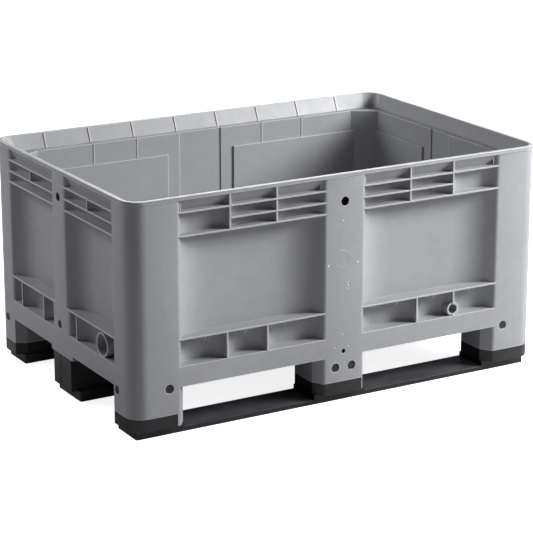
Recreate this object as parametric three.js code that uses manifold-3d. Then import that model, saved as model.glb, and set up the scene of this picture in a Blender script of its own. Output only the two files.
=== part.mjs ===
import * as THREE from "three";
import { mergeVertices } from "three/addons/utils/BufferGeometryUtils.js";
import Module from "manifold-3d";

// All sizes are in mm. X runs along the long walls, -Y is the front, Z is up from the ground.

// Overall size
const LENGTH = 1200;
const WIDTH = 800;
const HEIGHT = 600;

// Moulded fits
const FIT = 0.3;
const SKIN = 5;
const RIB = 4;

// Outer shell
const LIP_HEIGHT = 9;
const LIP_PROUD = 2;
const LIP_WIDTH = 10;
const CORNER_RADIUS = 47;
const WALL_BOTTOM = 123;
const FLOOR_TOP = 140;
const FLOOR_THICKNESS = 6;

// Levels of the ribs and cells on the walls, each the upper face of its rib
const RIB_TOP = HEIGHT - 38;
const RIB_MIDDLE = RIB_TOP - 30;
const RIB_LOWER = RIB_TOP - 59;
const SHELF = 245;
const CELL_FLOOR = 175;

// Inner steps of the walls, measured inwards from the outer plane
const BAND_DEPTH = { long: 28, short: 22 };
const LEDGE_DEPTH = { long: 43, short: 37 };
const PANEL_DEPTH = { long: 52, short: 47 };
const LEDGE_LEVEL = RIB_TOP - 2;
const PANEL_LEVEL = RIB_LOWER;
const FRAME_DEPTH = { long: 46.5, short: 41 };
const BAY_HALF = { long: 65, short: 44 };
const PANEL_FROM = { long: 104, short: 78 };
const INNER_RIB_PITCH = 131;
const INNER_RIB_PROUD = 1.6;
const INNER_RIB_WIDTH = 3;

// Line of the slanted inner face of the corner posts
const POST_A = { x: LENGTH / 2 - 140, y: WIDTH / 2 - 25 };
const POST_B = { x: LENGTH / 2 - 25, y: WIDTH / 2 - 100 };

// Windows between the pillars, as distances from the middle of a wall
const LONG_POST = 136;
const SHORT_POST = 102;
const LONG_WINDOW = { from: 60, to: LENGTH / 2 - LONG_POST };
const SHORT_WINDOW = { from: 39, to: WIDTH / 2 - SHORT_POST };
const SHORT_CELL_FROM = 50;

// Depths of the recesses from the outer plane
const PANEL_RECESS = { long: 48, short: 43 };
const ROW_RECESS = { long: 34, short: 27 };
const TOP_RECESS = { long: 23, short: 17 };
const TOP_RECESS_UPPER = 6;

// Flanks of the recesses
const EDGE_ROUND = 9;
const FLANK_START = 6;
const PANEL_FLANK = { long: 105, short: 85 };
const ROW_FLANK = 44;
const CELL_FLANK = 48;
const FLANK_STEPS = 4;

// Upright plates that part the rows and the lower cells
const LONG_ROW_PLATES = [LONG_WINDOW.from + 136, LONG_WINDOW.from + 267];
const LONG_CELL_PLATES = [LONG_WINDOW.from + 162, LONG_WINDOW.from + 276];
const SHORT_ROW_PLATES = [SHORT_WINDOW.to - 130];
const SHORT_CELL_PLATES_LEFT = [SHORT_WINDOW.to - 192, SHORT_WINDOW.to - 56];
const SHORT_CELL_PLATES_RIGHT = [SHORT_WINDOW.to - 208];

// Feet
const FOOT_BOTTOM = 24;
const CORNER_FOOT_INNER_X = LONG_WINDOW.to - 18;
const FOOT_REAR = WIDTH / 2 - 117;
const MIDDLE_FOOT_HALF_FRONT = 60;
const MIDDLE_FOOT_HALF_REAR = 75;
const FOOT_FLANK_Y = WIDTH / 2 - 32;
const SIDE_FLANK_X = LENGTH / 2 - 30;

// Runner caps and soles
const CAP_TOP = 55.5;
const CAP_BOTTOM = 23;
const CORNER_STRIP = 11;
const MIDDLE_STRIP = 4;
const SOLE_INSET = 20;
const SOLE_REAR = FOOT_REAR - 6;
const SOLE_HEIGHT = 24;
const STRIP_HEIGHT = 12;
const SOLE_RADIUS = 5;

// Middle runner
const BLOCK_HALF = 51;
const BLOCK_LENGTH = 136;
const BLOCK_CENTRE_HALF = 70;
const MIDDLE_SOLE_HALF = 66;
const MIDDLE_SOLE_HEIGHT = 26;
const SADDLE_HALF = 62;
const SADDLE_BOTTOM = 111;

// Latch tongues and their holes
const TONGUE = 6.5;
const LATCH_RADIUS = 12;
const LATCH_FIT = 1.6;
const LATCH_SUNK = 2.4;
const CORNER_LATCH = { u: LENGTH / 2 - 103, z: 123.5 };
const MIDDLE_LATCH = { u: 24, z: 94.5 };
const SIDE_LATCH_NEAR = { u: WIDTH / 2 - 85, z: 114 };
const SIDE_LATCH_FAR = { u: WIDTH / 2 - 58, z: 118 };
const BLOCK_LATCH = { u: 8, z: 191 };
const HIGH_HOLE = { z: HEIGHT - 72, radius: 12 };
const SMALL_HOLE = { z: 136, radius: 6.5 };

// Drain tube and ring boss
const DRAIN = { u: LONG_CELL_PLATES[1] - 0.5, z: 193.5, outer: 17.5, bore: 13 };
const RING = { u: 68 - SHORT_WINDOW.to, z: 204, outer: 31, wall: 3.5 };

const wasm = await Module();
wasm.setup();

const grey = new THREE.MeshStandardMaterial({ color: 0x8d8e92, roughness: 0.55, metalness: 0 });
const black = new THREE.MeshStandardMaterial({ color: 0x17181a, roughness: 0.6, metalness: 0 });

// A closed three.js geometry as a solid that can be cut and joined.
function solid(geometry) {
  const bare = geometry.clone();
  bare.deleteAttribute("normal");
  bare.deleteAttribute("uv");
  const merged = mergeVertices(bare, 1e-3);
  return new wasm.Manifold(
    new wasm.Mesh({
      numProp: 3,
      vertProperties: merged.attributes.position.array,
      triVerts: new Uint32Array(merged.index.array),
    }),
  );
}

function mesh(name, body, material) {
  const data = body.getMesh();
  const geometry = new THREE.BufferGeometry();
  geometry.setAttribute("position", new THREE.BufferAttribute(data.vertProperties, 3));
  geometry.setIndex(new THREE.BufferAttribute(data.triVerts, 1));
  geometry.computeVertexNormals();
  const made = new THREE.Mesh(geometry, material);
  made.name = name;
  return made;
}

function join(bodies) {
  return bodies.reduce((all, next) => all.add(next));
}

// An upright prism on a plan given as [x, y] points.
function prism(points, z0, z1) {
  const shape = new THREE.Shape(points.map(([x, y]) => new THREE.Vector2(x, y)));
  const geometry = new THREE.ExtrudeGeometry(shape, { depth: z1 - z0, bevelEnabled: false, steps: 1 });
  geometry.translate(0, 0, z0);
  return solid(geometry);
}

function box(x0, x1, y0, y1, z0, z1) {
  const geometry = new THREE.BoxGeometry(x1 - x0, y1 - y0, z1 - z0);
  geometry.translate((x0 + x1) / 2, (y0 + y1) / 2, (z0 + z1) / 2);
  return solid(geometry);
}

// Plan of a rectangle with rounded corners.
function roundedPlan(x0, x1, y0, y1, radius, steps) {
  const corners = [
    [x1 - radius, y1 - radius, 0],
    [x0 + radius, y1 - radius, 1],
    [x0 + radius, y0 + radius, 2],
    [x1 - radius, y0 + radius, 3],
  ];
  return corners.flatMap(([x, y, quarter]) =>
    Array.from({ length: steps + 1 }, (_, i) => {
      const angle = ((quarter + i / steps) * Math.PI) / 2;
      return [x + radius * Math.cos(angle), y + radius * Math.sin(angle)];
    }),
  );
}

// The four walls. Each one turns (u along the wall, d inwards from the outer plane) into plan points.
const WALLS = [
  { long: true, side: -1 },
  { long: true, side: 1 },
  { long: false, side: -1 },
  { long: false, side: 1 },
];

function onWall(wall, u, d) {
  if (wall.long) return [u, wall.side * (WIDTH / 2 - d)];
  return [wall.side * (LENGTH / 2 - d), u];
}

function wallPrism(wall, points, z0, z1) {
  return prism(points.map(([u, d]) => onWall(wall, u, d)), z0, z1);
}

function wallBox(wall, u0, u1, d0, d1, z0, z1) {
  return wallPrism(wall, [[u0, d0], [u1, d0], [u1, d1], [u0, d1]], z0, z1);
}

// A round bar square to a wall, from depth d0 to depth d1.
function wallBar(wall, u, z, radius, d0, d1, sides = 16) {
  const geometry = new THREE.CylinderGeometry(radius, radius, d1 - d0, sides);
  if (!wall.long) geometry.rotateZ(Math.PI / 2);
  const [x, y] = onWall(wall, u, (d0 + d1) / 2);
  geometry.translate(x, y, z);
  return solid(geometry);
}

function bySize(wall, pair) {
  return wall.long ? pair.long : pair.short;
}

// One flank of a recess, from the outside to its deepest point, as steps away from its edge.
function flank(depth, reach, rounded) {
  const outside = -LIP_PROUD - 4;
  const points = rounded
    ? [[-EDGE_ROUND, outside], [-EDGE_ROUND, LIP_PROUD], [-EDGE_ROUND * 0.4, LIP_PROUD + 1.1]]
    : [[0, outside]];
  for (let i = 0; i <= FLANK_STEPS; i++) {
    const t = i / FLANK_STEPS;
    const a = (1 - t) * (1 - t);
    const b = 2 * t * (1 - t);
    const c = t * t;
    points.push([b * reach * 0.21 + c * reach, a * FLANK_START + b * depth * 0.92 + c * depth]);
  }
  return points;
}

// A recess between two edges of a wall. Edges at a pillar are rounded, edges at a plate are sharp.
function recess(wall, from, to, depth, reach, roundFrom, roundTo, z0, z1) {
  const fitted = Math.min(reach, (to - from) * 0.48);
  const start = flank(depth, fitted, roundFrom).map(([s, d]) => [from + s, d]);
  const end = flank(depth, fitted, roundTo).map(([s, d]) => [to - s, d]);
  return wallPrism(wall, [...start, ...end.reverse()], z0, z1);
}

// The uppermost recess has a wall that slopes out under the lip.
function slopedRecess(wall, from, to, roundFrom, roundTo) {
  const deep = bySize(wall, TOP_RECESS);
  const top = HEIGHT - LIP_HEIGHT;
  const plan = recess(wall, from, to, deep + 8, ROW_FLANK, roundFrom, roundTo, RIB_TOP, top);
  const section = [
    [-8, RIB_TOP],
    [deep, RIB_TOP],
    [TOP_RECESS_UPPER, top],
    [-8, top],
  ];
  const shape = new THREE.Shape(section.map(([d, z]) => new THREE.Vector2(d, z)));
  const span = to - from + 2 * EDGE_ROUND + 2;
  const geometry = new THREE.ExtrudeGeometry(shape, { depth: span, bevelEnabled: false });
  geometry.translate(0, 0, from - EDGE_ROUND - 1);
  const moved = geometry.attributes.position;
  for (let i = 0; i < moved.count; i++) {
    const [x, y] = onWall(wall, moved.getZ(i), moved.getX(i));
    moved.setXYZ(i, x, y, moved.getY(i));
  }
  // The mapping mirrors the section on two of the walls, so its faces are turned back there.
  if ((wall.side > 0) === wall.long) {
    for (let i = 0; i < moved.count; i += 3) {
      const first = [moved.getX(i), moved.getY(i), moved.getZ(i)];
      moved.setXYZ(i, moved.getX(i + 1), moved.getY(i + 1), moved.getZ(i + 1));
      moved.setXYZ(i + 1, ...first);
    }
  }
  return plan.intersect(solid(geometry));
}

// Splits a window at its plates into cells, and says which ends meet a pillar.
function cells(from, to, plates) {
  const edges = [from, ...plates.flatMap((p) => [p - RIB / 2, p + RIB / 2]), to];
  const made = [];
  for (let i = 0; i < edges.length; i += 2) {
    made.push({ from: edges[i], to: edges[i + 1], first: i === 0, last: i + 2 === edges.length });
  }
  return made;
}

function mirrored(cell, sign) {
  if (sign > 0) return cell;
  return { from: -cell.to, to: -cell.from, first: cell.last, last: cell.first };
}

function rowCut(wall, cell, z0, z1) {
  const depth = bySize(wall, ROW_RECESS);
  return recess(wall, cell.from, cell.to, depth, ROW_FLANK, cell.first, cell.last, z0, z1);
}

function lowerCut(wall, cell) {
  const depth = bySize(wall, FRAME_DEPTH) - RIB;
  const top = SHELF - RIB;
  return recess(wall, cell.from, cell.to, depth, CELL_FLANK, cell.first, cell.last, CELL_FLOOR, top);
}

// All recesses of one long wall. The outermost column has no middle rib.
function longWallCuts(wall) {
  const cuts = [];
  for (const sign of [-1, 1]) {
    const rows = cells(LONG_WINDOW.from, LONG_WINDOW.to, LONG_ROW_PLATES);
    rows.forEach((row, index) => {
      const cell = mirrored(row, sign);
      const outermost = index === rows.length - 1;
      cuts.push(slopedRecess(wall, cell.from, cell.to, cell.first, cell.last));
      if (outermost) {
        cuts.push(rowCut(wall, cell, RIB_LOWER, RIB_TOP - RIB));
      } else {
        cuts.push(rowCut(wall, cell, RIB_MIDDLE, RIB_TOP - RIB));
        cuts.push(rowCut(wall, cell, RIB_LOWER, RIB_MIDDLE - RIB));
      }
    });
    const panel = mirrored({ ...LONG_WINDOW, first: true, last: true }, sign);
    const depth = PANEL_RECESS.long;
    const reach = PANEL_FLANK.long;
    cuts.push(recess(wall, panel.from, panel.to, depth, reach, true, true, SHELF, RIB_LOWER - RIB));
    for (const lower of cells(LONG_WINDOW.from, LONG_WINDOW.to, LONG_CELL_PLATES)) {
      cuts.push(lowerCut(wall, mirrored(lower, sign)));
    }
  }
  return cuts;
}

// All recesses of one short wall. The plates of the lower cells differ between its two windows.
function shortWallCuts(wall) {
  const cuts = [];
  for (const sign of [-1, 1]) {
    const whole = mirrored({ ...SHORT_WINDOW, first: true, last: true }, sign);
    cuts.push(slopedRecess(wall, whole.from, whole.to, true, true));
    for (const row of cells(SHORT_WINDOW.from, SHORT_WINDOW.to, SHORT_ROW_PLATES)) {
      cuts.push(rowCut(wall, mirrored(row, sign), RIB_MIDDLE, RIB_TOP - RIB));
    }
    cuts.push(rowCut(wall, whole, RIB_LOWER, RIB_MIDDLE - RIB));
    const depth = PANEL_RECESS.short;
    const reach = PANEL_FLANK.short;
    cuts.push(recess(wall, whole.from, whole.to, depth, reach, true, true, SHELF, RIB_LOWER - RIB));
    const plates = sign === wall.side ? SHORT_CELL_PLATES_RIGHT : SHORT_CELL_PLATES_LEFT;
    for (const lower of cells(SHORT_CELL_FROM, SHORT_WINDOW.to, plates)) {
      cuts.push(lowerCut(wall, mirrored(lower, sign)));
    }
  }
  return cuts;
}

// Plan of the post line pushed outwards by a thickness, cut to a rectangle of half sizes x and y.
function postLine(x, y, thickness) {
  const dx = POST_B.x - POST_A.x;
  const dy = POST_B.y - POST_A.y;
  const size = Math.hypot(dx, dy);
  const normal = { x: -dy / size, y: dx / size };
  const reach = normal.x * POST_A.x + normal.y * POST_A.y + thickness;
  return [
    [x, (reach - normal.x * x) / normal.y],
    [(reach - normal.y * y) / normal.x, y],
  ];
}

// Repeats a plan drawn in the +X +Y quarter around the box, in order.
function fourfold(quarter) {
  const back = [...quarter].reverse();
  return [
    ...quarter,
    ...back.map(([x, y]) => [-x, y]),
    ...quarter.map(([x, y]) => [-x, -y]),
    ...back.map(([x, y]) => [x, -y]),
  ];
}

// Half sizes of the inside at a depth from the outer planes.
function insideAt(depth) {
  return { x: LENGTH / 2 - depth.short, y: WIDTH / 2 - depth.long };
}

// The slanted band under the lip, carried on a little above the lip.
function bandSpace() {
  const low = insideAt(BAND_DEPTH);
  const over = 5;
  const rise = HEIGHT - LEDGE_LEVEL;
  const lean = {
    x: ((BAND_DEPTH.short - LIP_WIDTH) * (rise + over)) / rise,
    y: ((BAND_DEPTH.long - LIP_WIDTH) * (rise + over)) / rise,
  };
  const plan = roundedPlan(-low.x, low.x, -low.y, low.y, CORNER_RADIUS - LIP_WIDTH, 6);
  const shape = new THREE.Shape(plan.map(([x, y]) => new THREE.Vector2(x, y)));
  const depth = rise + over;
  const geometry = new THREE.ExtrudeGeometry(shape, { depth, bevelEnabled: false, steps: 1 });
  const points = geometry.attributes.position;
  for (let i = 0; i < points.count; i++) {
    const upper = points.getZ(i) > depth / 2;
    const growX = upper ? (low.x + lean.x) / low.x : 1;
    const growY = upper ? (low.y + lean.y) / low.y : 1;
    points.setXYZ(i, points.getX(i) * growX, points.getY(i) * growY, points.getZ(i) + LEDGE_LEVEL);
  }
  return solid(geometry);
}

// The inside of the box. Below the band each wall has a bay at its pillar, then steps in to its panels.
function cavity() {
  const bay = insideAt(LEDGE_DEPTH);
  const frame = insideAt(FRAME_DEPTH);
  const panel = insideAt(PANEL_DEPTH);
  const upper = [
    [bay.x, BAY_HALF.short],
    [frame.x, BAY_HALF.short],
    ...postLine(frame.x, frame.y, 0),
    [BAY_HALF.long, frame.y],
    [BAY_HALF.long, bay.y],
  ];
  const lower = [
    [bay.x, BAY_HALF.short],
    [frame.x, BAY_HALF.short],
    [frame.x, PANEL_FROM.short],
    [panel.x, PANEL_FROM.short],
    ...postLine(panel.x, panel.y, 0),
    [PANEL_FROM.long, panel.y],
    [PANEL_FROM.long, frame.y],
    [BAY_HALF.long, frame.y],
    [BAY_HALF.long, bay.y],
  ];
  return join([
    bandSpace(),
    prism(fourfold(upper), PANEL_LEVEL, LEDGE_LEVEL + 1),
    prism(fourfold(lower), FLOOR_TOP, PANEL_LEVEL + 1),
  ]);
}

// The upright front edge of a foot, rounded on the outside and plain in its hollow.
function frontEdge(x, y, sign, thickness) {
  if (thickness > 0) return [[x, y]];
  return [
    [x + sign * EDGE_ROUND, y],
    [x + sign * EDGE_ROUND * 0.4, y - 1.1],
    [x, y - FLANK_START + LIP_PROUD],
  ];
}

// Plan of one corner foot in the +X +Y quarter, shrunk by a thickness for its hollow.
function cornerFootPlan(thickness) {
  const x = LENGTH / 2 - LIP_PROUD - thickness;
  const y = WIDTH / 2 - LIP_PROUD - thickness;
  const radius = CORNER_RADIUS - LIP_PROUD - thickness;
  const arc = [];
  for (let i = 0; i <= 8; i++) {
    const angle = (i / 8) * (Math.PI / 2);
    arc.push([x - radius + radius * Math.cos(angle), y - radius + radius * Math.sin(angle)]);
  }
  return [
    [SIDE_FLANK_X - thickness * 0.5, FOOT_REAR + thickness],
    [x, SHORT_WINDOW.to + thickness * 0.8],
    ...arc,
    ...frontEdge(LONG_WINDOW.to + thickness * 1.2, y, 1, thickness),
    [CORNER_FOOT_INNER_X + thickness, FOOT_FLANK_Y - thickness * 0.4],
    [CORNER_FOOT_INNER_X + thickness, FOOT_REAR + thickness],
  ];
}

// Plan of the middle foot at the rear wall, shrunk by a thickness for its hollow.
function middleFootPlan(thickness) {
  const y = WIDTH / 2 - LIP_PROUD - thickness;
  const front = MIDDLE_FOOT_HALF_FRONT - thickness * 1.2;
  const rear = MIDDLE_FOOT_HALF_REAR - thickness;
  return [
    ...frontEdge(front, y, -1, thickness).reverse(),
    ...frontEdge(-front, y, 1, thickness),
    [-rear, FOOT_FLANK_Y],
    [-rear, FOOT_REAR + thickness],
    [rear, FOOT_REAR + thickness],
    [rear, FOOT_FLANK_Y],
  ];
}

function turned(points, sx, sy) {
  return points.map(([x, y]) => [x * sx, y * sy]);
}

const QUARTERS = [[-1, -1], [1, -1], [1, 1], [-1, 1]];

// Space taken by the cap of one foot, grown by a clearance. Seen from its own side of the box a runner
// wraps each foot, but for the strip along the right edge of its left and middle foot.
function capSpace(side, foot, gap) {
  const end = LENGTH / 2 + 5;
  const inner = { x: CORNER_FOOT_INNER_X - 5, y: FOOT_REAR - 5 };
  const ranges = [
    [-end, -LONG_WINDOW.to - CORNER_STRIP],
    [-MIDDLE_FOOT_HALF_REAR - 5, MIDDLE_FOOT_HALF_FRONT - MIDDLE_STRIP],
    [inner.x, end],
  ];
  const [from, to] = ranges[foot + 1];
  const y0 = inner.y - gap;
  const y1 = WIDTH / 2 + 5;
  const plan = [[from - gap, y0], [to + gap, y0], [to + gap, y1], [from - gap, y1]];
  return prism(turned(plan, -side, side), gap > 0 ? 0 : CAP_BOTTOM, CAP_TOP + gap);
}

// The hollow inside one corner post, open below.
function cornerPostHollow(sx, sy) {
  const x = LENGTH / 2 - LIP_PROUD - SKIN;
  const y = WIDTH / 2 - LIP_PROUD - SKIN;
  const radius = CORNER_RADIUS - LIP_PROUD - SKIN;
  const arc = [];
  for (let i = 0; i <= 5; i++) {
    const angle = (i / 5) * (Math.PI / 2);
    arc.push([x - radius + radius * Math.cos(angle), y - radius + radius * Math.sin(angle)]);
  }
  const lineX = LONG_WINDOW.to + 8;
  const lineY = SHORT_WINDOW.to + 7;
  const slope = (POST_B.y - POST_A.y) / (POST_B.x - POST_A.x);
  const shift = SKIN * Math.hypot(1, slope);
  const onLine = (px) => POST_A.y + slope * (px - POST_A.x) + shift;
  const back = POST_A.x + (lineY - shift - POST_A.y) / slope;
  const plan = [[back, lineY], [x, lineY], ...arc, [lineX, y], [lineX, onLine(lineX)]];
  return prism(turned(plan, sx, sy), FOOT_BOTTOM, LEDGE_LEVEL - 10);
}

// Hollows of pillars, channels behind the lower wall strips, and the ribbed underside.
function hollows() {
  const cuts = [];
  const footTop = FLOOR_TOP - FLOOR_THICKNESS;
  const channelTop = CELL_FLOOR - RIB;
  for (const [sx, sy] of QUARTERS) {
    cuts.push(cornerPostHollow(sx, sy));
    cuts.push(prism(turned(cornerFootPlan(SKIN), sx, sy), 0, footTop));
  }
  for (const wall of WALLS) {
    const outer = LIP_PROUD + SKIN;
    const inner = bySize(wall, PANEL_DEPTH) - SKIN;
    const from = bySize(wall, PANEL_FROM) + SKIN;
    const to = wall.long ? CORNER_FOOT_INNER_X - SKIN : FOOT_REAR - SKIN;
    for (const sign of [-1, 1]) {
      cuts.push(wallBox(wall, sign * from, sign * to, outer, inner, 0, channelTop));
    }
    if (wall.long) {
      const half = LONG_WINDOW.from - SKIN - 1;
      cuts.push(prism(turned(middleFootPlan(SKIN), 1, wall.side), 0, footTop));
      cuts.push(wallBox(wall, -half, half, outer, LEDGE_DEPTH.long - SKIN, footTop - 1, LEDGE_LEVEL - 10));
    } else {
      const half = SHORT_WINDOW.from - SKIN;
      cuts.push(wallBox(wall, -half, half, outer, LEDGE_DEPTH.short - SKIN, 0, LEDGE_LEVEL - 10));
    }
  }
  return cuts;
}

// Shallow pockets under the floor that leave a grid of stiffening ribs.
function undersidePockets() {
  const cuts = [];
  const top = FLOOR_TOP - FLOOR_THICKNESS;
  const innerY = WIDTH / 2 - PANEL_DEPTH.long - 2;
  const innerX = LENGTH / 2 - PANEL_DEPTH.short - 2;
  const columnFrom = MIDDLE_FOOT_HALF_REAR + SKIN;
  const columnTo = CORNER_FOOT_INNER_X - SKIN;
  const columns = 3;
  const rows = 6;
  for (const sign of [-1, 1]) {
    for (let i = 0; i < columns; i++) {
      for (let j = 0; j < rows; j++) {
        const width = (columnTo - columnFrom) / columns;
        const height = (2 * innerY) / rows;
        const xa = sign * (columnFrom + i * width + RIB / 2);
        const xb = sign * (columnFrom + (i + 1) * width - RIB / 2);
        const y0 = -innerY + j * height + RIB / 2;
        const y1 = -innerY + (j + 1) * height - RIB / 2;
        cuts.push(box(Math.min(xa, xb), Math.max(xa, xb), y0, y1, WALL_BOTTOM - 5, top));
      }
    }
    const y0 = BLOCK_HALF + SKIN;
    const y1 = FOOT_REAR - SKIN;
    const ys = [Math.min(sign * y0, sign * y1), Math.max(sign * y0, sign * y1)];
    const half = MIDDLE_FOOT_HALF_REAR - RIB;
    cuts.push(box(-half, half, ...ys, WALL_BOTTOM - 5, top));
    cuts.push(box(CORNER_FOOT_INNER_X + SKIN, innerX, ...ys, WALL_BOTTOM - 5, top));
    cuts.push(box(-innerX, -CORNER_FOOT_INNER_X - SKIN, ...ys, WALL_BOTTOM - 5, top));
  }
  return cuts;
}

// Small ribs on the inside of the long walls: one row across the band, one row above the panels.
function innerRibs(wall) {
  const made = [];
  const face = FRAME_DEPTH.long;
  for (const index of [0, 1, 2, 3]) {
    const middle = BAY_HALF.long + index * INNER_RIB_PITCH;
    for (const sign of [-1, 1]) {
      const u0 = sign * middle - INNER_RIB_WIDTH / 2;
      const u1 = sign * middle + INNER_RIB_WIDTH / 2;
      const deep = BAND_DEPTH.long + INNER_RIB_PROUD;
      const plate = wallBox(wall, u0, u1, LIP_WIDTH + 1, deep, LEDGE_LEVEL - 1, HEIGHT - 2);
      made.push(plate);
      if (index === 1 || index === 2) {
        made.push(wallBox(wall, u0, u1, face - 2, face + 1.5, PANEL_LEVEL - 1, LEDGE_LEVEL));
      }
    }
  }
  return made;
}

// A slanted plane trims the band ribs so that they follow the band.
function bandTrim(wall) {
  const slope = (BAND_DEPTH.long - LIP_WIDTH) / (HEIGHT - LEDGE_LEVEL);
  const top = LIP_WIDTH + 1;
  const low = BAND_DEPTH.long + INNER_RIB_PROUD;
  const shape = new THREE.Shape([
    new THREE.Vector2(top + 1, HEIGHT + 1),
    new THREE.Vector2(low, LEDGE_LEVEL + slope),
    new THREE.Vector2(low + 20, LEDGE_LEVEL + slope),
    new THREE.Vector2(low + 20, HEIGHT + 1),
  ]);
  const geometry = new THREE.ExtrudeGeometry(shape, { depth: LENGTH, bevelEnabled: false });
  geometry.translate(0, 0, -LENGTH / 2);
  const points = geometry.attributes.position;
  for (let i = 0; i < points.count; i++) {
    const [x, y] = onWall(wall, points.getZ(i), points.getX(i));
    points.setXYZ(i, x, y, points.getY(i));
  }
  if (wall.side > 0) {
    for (let i = 0; i < points.count; i += 3) {
      const first = [points.getX(i), points.getY(i), points.getZ(i)];
      points.setXYZ(i, points.getX(i + 1), points.getY(i + 1), points.getZ(i + 1));
      points.setXYZ(i + 1, ...first);
    }
  }
  return solid(geometry);
}

// Tube for the drain plug in a lower cell of the front wall.
function drainTube() {
  const wall = WALLS[0];
  const tube = wallBar(wall, DRAIN.u, DRAIN.z, DRAIN.outer, 4, PANEL_RECESS.long + 1, 28);
  return tube.subtract(wallBar(wall, DRAIN.u, DRAIN.z, DRAIN.bore, 0, PANEL_RECESS.long, 28));
}

// Large ring boss in a lower cell of the left wall, cut off by the floor of the cell.
function ringBoss() {
  const wall = WALLS[2];
  const deep = PANEL_RECESS.short;
  const outer = wallBar(wall, RING.u, RING.z, RING.outer, 5, deep + 1, 40);
  const inner = wallBar(wall, RING.u, RING.z, RING.outer - RING.wall, 0, deep, 40);
  const far = -SHORT_WINDOW.to - 2;
  const near = RING.u + 2 * RING.outer;
  const space = wallBox(wall, far, near, 0, deep + 2, CELL_FLOOR - 2, SHELF - RIB);
  return outer.subtract(inner).intersect(space);
}

// Every latch of a runner: wall, place along it and height.
function latches() {
  const made = [];
  for (const wall of WALLS) {
    if (wall.long) {
      for (const sign of [-1, 1]) {
        made.push({ wall, u: sign * CORNER_LATCH.u, z: CORNER_LATCH.z });
        made.push({ wall, u: sign * MIDDLE_LATCH.u, z: MIDDLE_LATCH.z });
      }
    } else {
      const sign = -wall.side;
      made.push({ wall, u: -sign * SIDE_LATCH_NEAR.u, z: SIDE_LATCH_NEAR.z });
      made.push({ wall, u: sign * SIDE_LATCH_FAR.u, z: SIDE_LATCH_FAR.z });
      made.push({ wall, u: sign * BLOCK_LATCH.u, z: BLOCK_LATCH.z });
    }
  }
  return made;
}

function boxBody() {
  const x = LENGTH / 2;
  const y = WIDTH / 2;
  const lipBottom = HEIGHT - LIP_HEIGHT;
  const bodyRadius = CORNER_RADIUS - LIP_PROUD;
  const faceX = x - LIP_PROUD;
  const faceY = y - LIP_PROUD;
  const wallPlan = roundedPlan(-faceX, faceX, -faceY, faceY, bodyRadius, 8);
  const lipPlan = roundedPlan(-x, x, -y, y, CORNER_RADIUS, 8);
  const parts = [
    prism(wallPlan, WALL_BOTTOM, lipBottom + 1),
    prism(lipPlan, lipBottom, HEIGHT),
  ];
  for (const [sx, sy] of QUARTERS) {
    parts.push(prism(turned(cornerFootPlan(0), sx, sy), FOOT_BOTTOM + FIT, WALL_BOTTOM + 1));
  }
  for (const side of [-1, 1]) {
    parts.push(prism(turned(middleFootPlan(0), 1, side), FOOT_BOTTOM + FIT, WALL_BOTTOM + 1));
    const saddle = WALLS[side > 0 ? 3 : 2];
    const deep = PANEL_DEPTH.short;
    parts.push(wallBox(saddle, -SADDLE_HALF, SADDLE_HALF, LIP_PROUD, deep, SADDLE_BOTTOM, WALL_BOTTOM + 1));
  }
  let body = join(parts).subtract(cavity());
  for (const wall of WALLS) {
    const cuts = wall.long ? longWallCuts(wall) : shortWallCuts(wall);
    body = body.subtract(join(cuts));
  }
  body = body.subtract(join(hollows()));
  body = body.subtract(join(undersidePockets()));
  for (const [sx, sy] of QUARTERS) {
    body = body.subtract(capSpace(sy, sx * -sy, FIT));
  }
  for (const side of [-1, 1]) {
    const wall = WALLS[side > 0 ? 1 : 0];
    body = body.subtract(capSpace(side, 0, FIT));
    body = body.add(join(innerRibs(wall)).subtract(bandTrim(wall)));
  }
  body = body.add(drainTube());
  body = body.subtract(wallBar(WALLS[0], DRAIN.u, DRAIN.z, DRAIN.bore, 0, PANEL_RECESS.long, 28));
  body = body.add(ringBoss());
  for (const { wall, u, z } of latches()) {
    body = body.subtract(wallBar(wall, u, z, LATCH_RADIUS, 0, LIP_PROUD + SKIN + 1));
  }
  for (const wall of WALLS) {
    body = body.subtract(wallBar(wall, 0, HIGH_HOLE.z, HIGH_HOLE.radius, 0, LIP_PROUD + SKIN + 1));
    if (wall.long) {
      body = body.subtract(wallBar(wall, 0, SMALL_HOLE.z, SMALL_HOLE.radius, 0, LIP_PROUD + SKIN + 1));
    }
  }
  return body;
}

// A tongue that stands inside a foot against its outer wall, with a round catch in the hole.
function tongue(wall, u0, u1, z0, latchList) {
  const face = LIP_PROUD + SKIN + FIT;
  const top = Math.max(...latchList.map((l) => l.z)) + LATCH_RADIUS + 3;
  const parts = [wallBox(wall, u0, u1, face, face + TONGUE, z0, top)];
  for (const { u, z } of latchList) {
    parts.push(wallBar(wall, u, z, LATCH_RADIUS - LATCH_FIT, LIP_PROUD + LATCH_SUNK, face + 1));
  }
  return join(parts);
}

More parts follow.
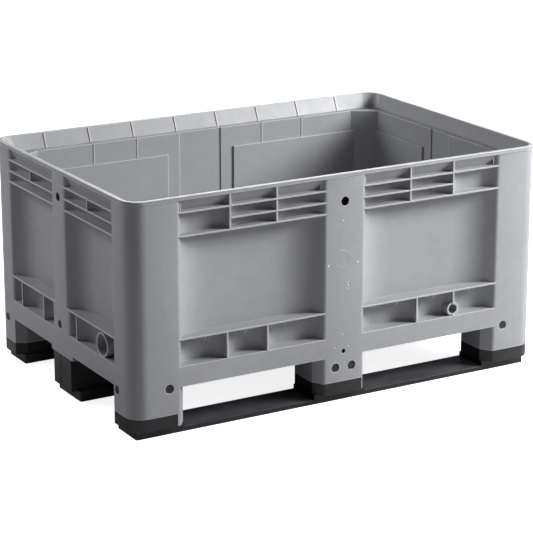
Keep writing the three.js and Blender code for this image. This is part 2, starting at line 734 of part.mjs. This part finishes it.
// One of the two outer runners: sole with three pads, caps around the feet and latch tongues.
function sideRunner(side) {
  const wall = WALLS[side > 0 ? 1 : 0];
  const x = LENGTH / 2 - SOLE_INSET;
  const y = WIDTH / 2 - SOLE_INSET;
  const ys = [Math.min(side * SOLE_REAR, side * y), Math.max(side * SOLE_REAR, side * y)];
  const plan = roundedPlan(-x, x, ...ys, SOLE_RADIUS, 5);
  const pads = join([
    box(-x, -CORNER_FOOT_INNER_X, ...ys, 0, SOLE_HEIGHT),
    box(-MIDDLE_FOOT_HALF_REAR, MIDDLE_FOOT_HALF_REAR, ...ys, 0, SOLE_HEIGHT),
    box(CORNER_FOOT_INNER_X, x, ...ys, 0, SOLE_HEIGHT),
  ]);
  const parts = [prism(plan, 0, STRIP_HEIGHT), prism(plan, 0, SOLE_HEIGHT).intersect(pads)];
  for (const sx of [-1, 1]) {
    const foot = prism(turned(cornerFootPlan(0), sx, side), CAP_BOTTOM, CAP_TOP);
    parts.push(foot.intersect(capSpace(side, sx * -side, 0)));
  }
  const foot = prism(turned(middleFootPlan(0), 1, side), CAP_BOTTOM, CAP_TOP);
  parts.push(foot.intersect(capSpace(side, 0, 0)));
  for (const latch of latches()) {
    const own = latch.wall === wall;
    const across = !latch.wall.long && Math.abs(latch.u) > 100 && Math.sign(latch.u) === side;
    if (own && Math.abs(latch.u) > 100) {
      parts.push(tongue(wall, latch.u - 20, latch.u + 20, CAP_TOP - 10, [latch]));
    }
    if (across) {
      const near = Math.abs(latch.u) === SIDE_LATCH_NEAR.u;
      const u0 = latch.u - side * (near ? 11 : 20);
      const u1 = latch.u + side * (near ? 20 : 9);
      parts.push(tongue(latch.wall, Math.min(u0, u1), Math.max(u0, u1), CAP_TOP - 10, [latch]));
    }
  }
  const pair = latches().filter((l) => l.wall === wall && Math.abs(l.u) < 100);
  parts.push(tongue(wall, -44, 44, CAP_TOP - 10, pair));
  return join(parts);
}

// The middle runner carries two end blocks and a centre block on one flat sole.
function middleRunner() {
  const end = LENGTH / 2 - LIP_PROUD;
  const x = LENGTH / 2 - SOLE_INSET;
  const soleHalf = MIDDLE_SOLE_HALF;
  const under = FLOOR_TOP - FLOOR_THICKNESS - FIT;
  const blockTop = SADDLE_BOTTOM - FIT;
  const parts = [prism(roundedPlan(-x, x, -soleHalf, soleHalf, SOLE_RADIUS, 5), 0, MIDDLE_SOLE_HEIGHT)];
  const low = MIDDLE_SOLE_HEIGHT - 1;
  const centre = BLOCK_CENTRE_HALF;
  parts.push(box(-centre, centre, -BLOCK_HALF, BLOCK_HALF, low, WALL_BOTTOM - FIT));
  for (const wall of WALLS.filter((w) => !w.long)) {
    const inner = BLOCK_LENGTH;
    parts.push(wallBox(wall, -BLOCK_HALF, BLOCK_HALF, LENGTH / 2 - end, inner, low, blockTop));
    const hub = PANEL_DEPTH.short + SKIN;
    parts.push(wallBox(wall, -BLOCK_HALF, BLOCK_HALF, hub, inner, low, WALL_BOTTOM - FIT));
    const own = latches().filter((l) => l.wall === wall && Math.abs(l.u) < 100);
    parts.push(tongue(wall, -26, 26, blockTop - 2, own));
  }
  const grooves = WALLS.filter((w) => !w.long).map((wall) =>
    wallBox(wall, 8.5 * -wall.side, 11.5 * -wall.side, 0, LIP_PROUD + 1.5, 0, WALL_BOTTOM - 3),
  );
  return join(parts).subtract(join(grooves));
}

const root = new THREE.Group();
root.name = "pallet_box";
root.add(mesh("box_body", boxBody(), grey));
root.add(mesh("runner_front", sideRunner(-1), black));
root.add(mesh("runner_rear", sideRunner(1), black));
root.add(mesh("runner_middle", middleRunner(), black));

export default root;
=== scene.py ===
import math

import bmesh
import bpy
import numpy as np
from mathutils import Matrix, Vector


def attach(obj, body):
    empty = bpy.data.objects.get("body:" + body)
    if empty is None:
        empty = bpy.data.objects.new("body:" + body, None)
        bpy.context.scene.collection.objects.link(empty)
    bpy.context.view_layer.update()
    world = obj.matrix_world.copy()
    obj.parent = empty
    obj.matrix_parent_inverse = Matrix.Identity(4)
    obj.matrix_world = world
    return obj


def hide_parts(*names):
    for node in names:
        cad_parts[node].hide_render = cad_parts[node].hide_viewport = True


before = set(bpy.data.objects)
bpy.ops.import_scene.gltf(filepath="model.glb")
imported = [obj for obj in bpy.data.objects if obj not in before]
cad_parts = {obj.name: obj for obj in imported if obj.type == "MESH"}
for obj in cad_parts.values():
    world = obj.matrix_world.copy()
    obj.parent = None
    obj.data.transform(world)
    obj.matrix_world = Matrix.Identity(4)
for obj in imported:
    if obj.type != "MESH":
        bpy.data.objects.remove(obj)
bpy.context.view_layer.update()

# Runners. Three black injection mouldings lie under the feet. The outer two wrap a cap round each foot
# and reach up inside it with latch tongues, and the middle one carries three tall blocks.
# The compound is polyethylene: a fine tool grain, a satin sheen, edges painted paler as a highlight that
# also stands for rubbed wear, and level tops painted lighter as top light that also stands for scuffs.
MM = 0.001
BLACK_DEEP = "121315"
BLACK_BODY = "1A1B1D"
BLACK_DUSTY = "2A2B2D"
# The edge colour is a painted highlight along convex edges, partly also rubbed wear. The scuffed colour
# is painted top light on faces that look up, partly also scuffs.
BLACK_EDGE_HIGHLIGHT_AND_WEAR = "3C3D40"
BLACK_TOP_LIGHT_AND_SCUFF = "55565A"
BLACK_ROUGHNESS = 0.38
BLACK_GRAIN = 0.10 * MM

GRAIN_SIZE = 1.4 * MM
MOTTLE_SIZE = 26 * MM
CLOUD_SIZE = 240 * MM
STREAK_WIDTH = 9 * MM
STREAK_LENGTH = 420 * MM
EDGE_RADIUS = 1.6 * MM
# How far in from a convex edge the painted edge highlight, partly wear, reaches.
EDGE_HIGHLIGHT_AND_WEAR_WIDTH = 2.2 * MM
DENT_DEPTH = 0.8 * MM
POLYETHYLENE_IOR = 1.52

# For each effect, the range of the value that drives it over which it grows, and how strong it gets.
# Clouds, mottle, streaks, patches and sheen follow a noise. The painted edge highlight, partly wear,
# follows how enclosed a point inside the plastic is, and the painted top light, partly scuffs, follows
# how far a face looks up.
CLOUD_RANGE = (0.3, 0.7)
MOTTLE_RANGE = (0.35, 0.75)
MOTTLE_MOST = 0.35
STREAK_RANGE = (0.52, 0.8)
STREAK_MOST = 0.4
EDGE_RANGE = (0.95, 0.6)
EDGE_HIGHLIGHT_AND_WEAR_MOST = 0.85
TOP_RANGE = (0.7, 0.95)
TOP_LIGHT_AND_SCUFF_MOST = 0.9
PATCH_RANGE = (0.35, 0.65)
PATCH_LEAST = 0.5
SHEEN_RANGE = (0.25, 0.75)
SHEEN_SPREAD = 0.06
DENT_STRENGTH = 0.25
GRAIN_STRENGTH = 0.35
EDGE_SAMPLES = 8
BEVEL_SAMPLES = 6

WELD = 0.02 * MM
FLAT_BELOW = math.radians(0.5)
SMOOTH_BELOW = math.radians(28)
BAND_FOLD = 560 * MM
FOLD_REACH = 1 * MM


def linear_colour(srgb_hex):
    """Turns an sRGB hex colour into the linear colour, with alpha, that a shader socket takes."""
    channels = [int(srgb_hex[i:i + 2], 16) / 255 for i in (0, 2, 4)]
    curve = [c / 12.92 if c <= 0.04045 else ((c + 0.055) / 1.055) ** 2.4 for c in channels]
    return (*curve, 1.0)


def add_node(tree, kind, settings=None, inputs=None):
    """Adds one node. Settings are its properties; an input is a value, or a socket to link from."""
    node = tree.nodes.new(kind)
    for name, value in (settings or {}).items():
        setattr(node, name, value)
    for name, value in (inputs or {}).items():
        if isinstance(value, bpy.types.NodeSocket):
            tree.links.new(value, node.inputs[name])
        else:
            node.inputs[name].default_value = value
    return node


def noise(tree, place, scale, detail, roughness):
    """The value of a solid noise at a place."""
    return add_node(tree, "ShaderNodeTexNoise", {"noise_dimensions": "3D"},
                    {"Vector": place, "Scale": scale, "Detail": detail,
                     "Roughness": roughness}).outputs["Fac"]


def ramp(tree, value, limits, least=0.0, most=1.0):
    """Runs from least to most while the value runs over the limits, and stays level outside them."""
    return add_node(tree, "ShaderNodeMapRange", None,
                    {"Value": value, "From Min": limits[0], "From Max": limits[1],
                     "To Min": least, "To Max": most}).outputs["Result"]


def blend(tree, share, first, second):
    """The first colour, with a share of the second laid over it."""
    return add_node(tree, "ShaderNodeMix", {"data_type": "RGBA"},
                    {"Factor": share, "A": first, "B": second}).outputs["Result"]


def moulded_polyethylene(name, deep, body, pale, edge, top_light_and_scuff, roughness, grain_depth):
    """Satin moulded plastic: cloudy dye, fine tool grain, upright flow streaks, a painted highlight
    along soft edges that also stands for wear, and painted top light on level tops, broken into patches
    that also stand for scuffs."""
    material = bpy.data.materials.new(name)
    material.use_nodes = True
    tree = material.node_tree
    shader = tree.nodes["Principled BSDF"]
    place = add_node(tree, "ShaderNodeTexCoord").outputs["Object"]
    drawn_out = add_node(
        tree, "ShaderNodeMapping", {"vector_type": "POINT"},
        {"Vector": place, "Scale": (1 / STREAK_WIDTH, 1 / STREAK_WIDTH, 1 / STREAK_LENGTH)})
    cloud = noise(tree, place, scale=1 / CLOUD_SIZE, detail=3.0, roughness=0.5)
    mottle = noise(tree, place, scale=1 / MOTTLE_SIZE, detail=4.0, roughness=0.6)
    streak = noise(tree, drawn_out.outputs["Vector"], scale=1.0, detail=2.0, roughness=0.5)
    grain = noise(tree, place, scale=1 / GRAIN_SIZE, detail=2.0, roughness=0.6)

    dye = blend(tree, ramp(tree, cloud, CLOUD_RANGE), linear_colour(body), linear_colour(pale))
    dye = blend(tree, ramp(tree, mottle, MOTTLE_RANGE, most=MOTTLE_MOST), dye, linear_colour(deep))
    dye = blend(tree, ramp(tree, streak, STREAK_RANGE, most=STREAK_MOST), dye, linear_colour(pale))

    normal = add_node(tree, "ShaderNodeNewGeometry").outputs["Normal"]
    upward = add_node(tree, "ShaderNodeSeparateXYZ", None, {"Vector": normal}).outputs["Z"]
    # Painted top light: faces that look up are lightened towards the scuffed colour, more in noise
    # patches that also stand for scuffs.
    top_light_and_scuff_share = add_node(tree, "ShaderNodeMath", {"operation": "MULTIPLY"})
    tree.links.new(ramp(tree, upward, TOP_RANGE, most=TOP_LIGHT_AND_SCUFF_MOST), top_light_and_scuff_share.inputs[0])
    tree.links.new(ramp(tree, mottle, PATCH_RANGE, least=PATCH_LEAST), top_light_and_scuff_share.inputs[1])
    dye = blend(tree, top_light_and_scuff_share.outputs["Value"], dye, linear_colour(top_light_and_scuff))

    # Painted edge highlight: convex edges are paled towards the edge colour, which partly also stands
    # for rubbed wear.
    near_edge = add_node(
        tree, "ShaderNodeAmbientOcclusion",
        {"samples": EDGE_SAMPLES, "inside": True, "only_local": True}, {"Distance": EDGE_HIGHLIGHT_AND_WEAR_WIDTH})
    edge_highlight_and_wear = ramp(tree, near_edge.outputs["AO"], EDGE_RANGE, most=EDGE_HIGHLIGHT_AND_WEAR_MOST)
    dye = blend(tree, edge_highlight_and_wear, dye, linear_colour(edge))
    tree.links.new(dye, shader.inputs["Base Color"])

    sheen = ramp(tree, mottle, SHEEN_RANGE,
                 least=roughness - SHEEN_SPREAD, most=roughness + SHEEN_SPREAD)
    tree.links.new(sheen, shader.inputs["Roughness"])

    rounded = add_node(tree, "ShaderNodeBevel", {"samples": BEVEL_SAMPLES}, {"Radius": EDGE_RADIUS})
    dented = add_node(tree, "ShaderNodeBump", None,
                      {"Strength": DENT_STRENGTH, "Distance": DENT_DEPTH, "Height": mottle,
                       "Normal": rounded.outputs["Normal"]})
    tooled = add_node(tree, "ShaderNodeBump", None,
                      {"Strength": GRAIN_STRENGTH, "Distance": grain_depth, "Height": grain,
                       "Normal": dented.outputs["Normal"]})
    tree.links.new(tooled.outputs["Normal"], shader.inputs["Normal"])
    shader.inputs["IOR"].default_value = POLYETHYLENE_IOR
    return material


def moulding(name, node, material):
    """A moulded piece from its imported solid: doubles merged, flat faces joined, curved flanks shaded
    smooth, and the fold below the slanted band kept crisp."""
    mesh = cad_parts[node].data.copy()
    mesh.name = name
    work = bmesh.new()
    work.from_mesh(mesh)
    bmesh.ops.remove_doubles(work, verts=work.verts, dist=WELD)
    bmesh.ops.dissolve_limit(work, angle_limit=FLAT_BELOW, verts=work.verts, edges=work.edges)
    bmesh.ops.triangulate(work, faces=[f for f in work.faces if len(f.verts) > 4])
    work.normal_update()
    for edge in work.edges:
        folded = all(abs(vert.co.z - BAND_FOLD) < FOLD_REACH for vert in edge.verts)
        edge.smooth = not folded and edge.calc_face_angle(0.0) < SMOOTH_BELOW
    work.to_mesh(mesh)
    work.free()
    mesh.materials.clear()
    mesh.materials.append(material)
    mesh.polygons.foreach_set("use_smooth", np.ones(len(mesh.polygons), dtype=bool))
    piece = bpy.data.objects.new(name, mesh)
    bpy.context.scene.collection.objects.link(piece)
    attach(piece, "root")
    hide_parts(node)
    return piece


black_plastic = moulded_polyethylene("black_polyethylene", BLACK_DEEP, BLACK_BODY, BLACK_DUSTY,
                                     BLACK_EDGE_HIGHLIGHT_AND_WEAR, BLACK_TOP_LIGHT_AND_SCUFF, BLACK_ROUGHNESS, BLACK_GRAIN)
for side in ("front", "rear", "middle"):
    runner = moulding("runner_" + side + "_moulded", "runner_" + side, black_plastic)

# Box. One grey moulding: floor, double-skinned walls with ribs and cells, hollow pillars and feet.
# Its lip runs round the top, and the walls step inwards below a slanted band.
GREY_DEEP = "8D8E92"
GREY_BODY = "97989C"
GREY_PALE = "9E9FA3"
# The edge colour is a painted highlight along convex edges, partly also rubbed wear. The scuffed colour
# is painted top light on faces that look up, partly also scuffs.
GREY_EDGE_HIGHLIGHT_AND_WEAR = "D8D9DC"
GREY_TOP_LIGHT_AND_SCUFF = "9C9DA1"
GREY_ROUGHNESS = 0.43
GREY_GRAIN = 0.12 * MM

grey_plastic = moulded_polyethylene("grey_polyethylene", GREY_DEEP, GREY_BODY, GREY_PALE,
                                    GREY_EDGE_HIGHLIGHT_AND_WEAR, GREY_TOP_LIGHT_AND_SCUFF, GREY_ROUGHNESS, GREY_GRAIN)
box = moulding("box_moulded", "box_body", grey_plastic)

# Mould marks. The tool leaves small round ejector buttons and gate rings on the face of the middle
# pillar, and little hooks under the front shelf where a label card clips in.
WALL_FACE_Y = -398 * MM
SUNK = 0.5 * MM
BUTTON_HEIGHT = 0.9 * MM
RING_THICKNESS = 1.1 * MM

# For each button and ring, its x, its z and its radius in millimetres.
PILLAR_BUTTONS = [(-48, 366, 3.4), (38, 365, 3.4), (-5, 478, 2.6), (11, 309, 2.6),
                  (-4, 180, 2.4), (-27, 148, 2.6), (14, 146, 2.6)]
PILLAR_RINGS = [(11, 309, 9.0), (-8, 380, 22.0)]

# Where the hooks stand along the shelf, in millimetres.
HOOK_PLACES = (-395, -281, -168, 162, 278, 387)
HOOK_RADIUS = 3.2 * MM
HOOK_LENGTH = 13 * MM
HOOK_BEND = 0.7
HOOK_TAPER = 0.45
HOOK_TIP_POWER = 8
HOOK_Y = -393 * MM
SHELF_UNDERSIDE = 241 * MM
POINT_WELD = 0.001 * MM
MARK_SMOOTH_BELOW = math.radians(50)


def grid_faces(rows, columns):
    """Four-sided faces between neighbouring rows of a grid that closes along its columns."""
    index = np.arange(rows * columns).reshape(rows, columns)
    near, far = index[:-1], index[1:]
    faces = np.stack([near, np.roll(near, -1, axis=1), np.roll(far, -1, axis=1), far], axis=-1)
    return faces.reshape(-1, 4)


def dome(x, z, radius, rings=5, sides=24):
    """A shallow round button on the front wall, with a flat back sunk into it.
    Its height falls from the middle to the edge as the square root of 1 - (r / radius) squared."""
    share = np.linspace(0.0, 1.0, rings)
    reach = np.concatenate([share * radius, [radius, 0.0]])
    lift = np.concatenate([BUTTON_HEIGHT * np.sqrt(1.0 - share ** 2), [-SUNK, -SUNK]])
    angle = np.linspace(0.0, 2 * math.pi, sides, endpoint=False)
    points = np.column_stack([x + np.outer(reach, np.cos(angle)).ravel(),
                              WALL_FACE_Y - np.repeat(lift, sides),
                              z + np.outer(reach, np.sin(angle)).ravel()])
    return points, grid_faces(rings + 2, sides)


def ring(x, z, radius, sides=40, around=8):
    """A thin raised ring on the front wall: a small circle carried round a large one."""
    big = np.linspace(0.0, 2 * math.pi, sides + 1)[:, None]
    small = np.linspace(0.0, 2 * math.pi, around, endpoint=False)[None, :]
    reach = radius + RING_THICKNESS / 2 * np.cos(small)
    points = np.stack([x + reach * np.cos(big),
                       WALL_FACE_Y + RING_THICKNESS / 2 * np.sin(small) + 0 * big,
                       z + reach * np.sin(big)], axis=-1)
    return points.reshape(-1, 3), grid_faces(sides + 1, around)


def hook(x, sides=12, rows=7):
    """A tapered peg under the shelf that bends back. Its middle line is a quarter of an ellipse, its
    upper end is a flat disc sunk into the shelf, and its radius falls to zero at the tip."""
    share = np.concatenate([[0.0], np.linspace(0.0, 1.0, rows)])[:, None]
    angle = np.linspace(0.0, 2 * math.pi, sides, endpoint=False)[None, :]
    rounding = np.sqrt(np.clip(1.0 - share ** HOOK_TIP_POWER, 0.0, 1.0))
    radius = HOOK_RADIUS * (1.0 - HOOK_TAPER * share) * rounding
    radius[0] = 0.0
    drop = HOOK_LENGTH * np.sin(share * math.pi / 2) - SUNK
    back = HOOK_LENGTH * HOOK_BEND * (1.0 - np.cos(share * math.pi / 2))
    points = np.stack([x + radius * np.cos(angle), HOOK_Y + back + radius * np.sin(angle),
                       SHELF_UNDERSIDE - drop + 0 * angle], axis=-1)
    return points.reshape(-1, 3), grid_faces(rows + 1, sides)


def surface_piece(name, shapes, material):
    """Joins point and face arrays into one piece that rides on the box, doubled points merged."""
    points, faces, count = [], [], 0
    for shape_points, shape_faces in shapes:
        points.append(shape_points)
        faces.append(shape_faces + count)
        count += len(shape_points)
    mesh = bpy.data.meshes.new(name)
    mesh.from_pydata(np.concatenate(points).tolist(), [], np.concatenate(faces).tolist())
    work = bmesh.new()
    work.from_mesh(mesh)
    bmesh.ops.remove_doubles(work, verts=work.verts, dist=POINT_WELD)
    bmesh.ops.recalc_face_normals(work, faces=work.faces)
    work.to_mesh(mesh)
    work.free()
    mesh.materials.append(material)
    mesh.polygons.foreach_set("use_smooth", np.ones(len(mesh.polygons), dtype=bool))
    mesh.set_sharp_from_angle(angle=MARK_SMOOTH_BELOW)
    piece = bpy.data.objects.new(name, mesh)
    bpy.context.scene.collection.objects.link(piece)
    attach(piece, "root")
    return piece


buttons = [dome(x * MM, z * MM, radius * MM) for x, z, radius in PILLAR_BUTTONS]
rings = [ring(x * MM, z * MM, radius * MM) for x, z, radius in PILLAR_RINGS]
marks = surface_piece("pillar_marks", buttons + rings, grey_plastic)
hooks = surface_piece("shelf_hooks", [hook(x * MM) for x in HOOK_PLACES], grey_plastic)

# Studio. A plain white floor takes the box's soft shadow. Two lamps stand in front on the right, and
# two behind on the right light the inside and the rims. Two weaker ones graze the left wall, mostly
# from behind, so that its rows stay dark, and a faint one lifts the front.
FLOOR_HALF = 14.0
CLEARANCE = 0.3 * MM
FLOOR_SEEN = 0.8
FLOOR_BOUNCE = 0.5
FLOOR_GLOW = 0.85
FLOOR_ROUGHNESS = 0.9
FLOOR_SPECULAR = 0.1
ROOM_SEEN = 1.0
ROOM_LEVEL = 0.02
BOX_CENTRE = (0.0, 0.0, 0.3)
NEAR_TARGET = (0.5, 0.0, 0.3)
NEAR_ASIDE = 0.5

floor_mesh = bpy.data.meshes.new("studio_floor")
floor_corners = [(x * FLOOR_HALF, y * FLOOR_HALF, -CLEARANCE)
                 for x, y in ((-1, -1), (1, -1), (1, 1), (-1, 1))]
floor_mesh.from_pydata(floor_corners, [], [(0, 1, 2, 3)])
floor = bpy.data.objects.new("studio_floor", floor_mesh)
bpy.context.scene.collection.objects.link(floor)

floor_paint = bpy.data.materials.new("white_floor")
floor_paint.use_nodes = True
floor_tree = floor_paint.node_tree
floor_shader = floor_tree.nodes["Principled BSDF"]
floor_seen = add_node(floor_tree, "ShaderNodeLightPath").outputs["Is Camera Ray"]
paint = blend(floor_tree, floor_seen, (FLOOR_BOUNCE, FLOOR_BOUNCE, FLOOR_BOUNCE, 1),
              (FLOOR_SEEN, FLOOR_SEEN, FLOOR_SEEN, 1))
glow = blend(floor_tree, floor_seen, (0, 0, 0, 1), (FLOOR_GLOW, FLOOR_GLOW, FLOOR_GLOW, 1))
floor_tree.links.new(paint, floor_shader.inputs["Base Color"])
floor_tree.links.new(glow, floor_shader.inputs["Emission Color"])
floor_shader.inputs["Emission Strength"].default_value = 1.0
floor_shader.inputs["Roughness"].default_value = FLOOR_ROUGHNESS
floor_shader.inputs["Specular IOR Level"].default_value = FLOOR_SPECULAR
floor_mesh.materials.append(floor_paint)

world = bpy.data.worlds.new("white_room")
bpy.context.scene.world = world
world.use_nodes = True
world_tree = world.node_tree
background = world_tree.nodes["Background"]
room_seen = add_node(world_tree, "ShaderNodeLightPath").outputs["Is Camera Ray"]
room_light = add_node(world_tree, "ShaderNodeMix", {"data_type": "FLOAT"},
                      {"Factor": room_seen, "A": ROOM_LEVEL, "B": ROOM_SEEN})
background.inputs["Color"].default_value = (1, 1, 1, 1)
world_tree.links.new(room_light.outputs["Result"], background.inputs["Strength"])


def softbox(name, place, size, power, target=BOX_CENTRE):
    """A square lamp, its size in metres and its power in watts, turned towards a point of the box."""
    lamp = bpy.data.lights.new(name, "AREA")
    lamp.shape = "RECTANGLE"
    lamp.size = size
    lamp.size_y = size
    lamp.energy = power
    stand = bpy.data.objects.new(name, lamp)
    stand.location = place
    stand.rotation_euler = (Vector(target) - Vector(place)).to_track_quat("-Z", "Y").to_euler()
    bpy.context.scene.collection.objects.link(stand)


def aim(azimuth, elevation, distance, aside=0.0):
    """A lamp's place round the box, angles in degrees. Azimuth 0 is in front and 90 on the right.
    The distance and the shift aside to the right are in metres."""
    turn, lift = math.radians(azimuth), math.radians(elevation)
    return (math.sin(turn) * math.cos(lift) * distance + aside,
            -math.cos(turn) * math.cos(lift) * distance,
            math.sin(lift) * distance + BOX_CENTRE[2])


softbox("key_lamp", aim(azimuth=55, elevation=30, distance=5.0), size=2.0, power=240.0)
softbox("near_lamp", aim(azimuth=45, elevation=30, distance=2.2, aside=NEAR_ASIDE),
        size=0.6, power=35.0, target=NEAR_TARGET)
softbox("right_lamp", aim(azimuth=115, elevation=35, distance=5.0), size=2.0, power=110.0)
softbox("rim_lamp", aim(azimuth=150, elevation=30, distance=3.5), size=1.5, power=50.0)
softbox("left_lamp", aim(azimuth=-135, elevation=30, distance=3.5), size=1.0, power=44.0)
softbox("side_lamp", aim(azimuth=-108, elevation=30, distance=3.0), size=1.5, power=9.0)
softbox("front_lamp", aim(azimuth=15, elevation=25, distance=4.0), size=1.5, power=10.0)

# Camera. A long lens looks down on the front left corner, as in the photograph.
# It stands about 5.7 metres away, and everything from the near rim to the floor's far edge is in range.
LENS = 143.45
SENSOR = 36.0
NEAREST = 0.1
FARTHEST = 100
AZIMUTH = math.radians(-30.22)
ELEVATION = math.radians(16.565)
CAMERA_PLACE = (-2.7326, -4.7015, 1.8742)

camera_data = bpy.data.cameras.new("camera")
camera_data.lens = LENS
camera_data.sensor_width = SENSOR
camera_data.sensor_fit = "HORIZONTAL"
camera_data.clip_start = NEAREST
camera_data.clip_end = FARTHEST
camera = bpy.data.objects.new("camera", camera_data)
camera.location = CAMERA_PLACE
looking = Vector((-math.sin(AZIMUTH) * math.cos(ELEVATION),
                  math.cos(AZIMUTH) * math.cos(ELEVATION),
                  -math.sin(ELEVATION)))
camera.rotation_euler = looking.to_track_quat("-Z", "Y").to_euler()
bpy.context.scene.collection.objects.link(camera)
bpy.context.scene.camera = camera
bpy.context.scene.view_settings.view_transform = "Standard"
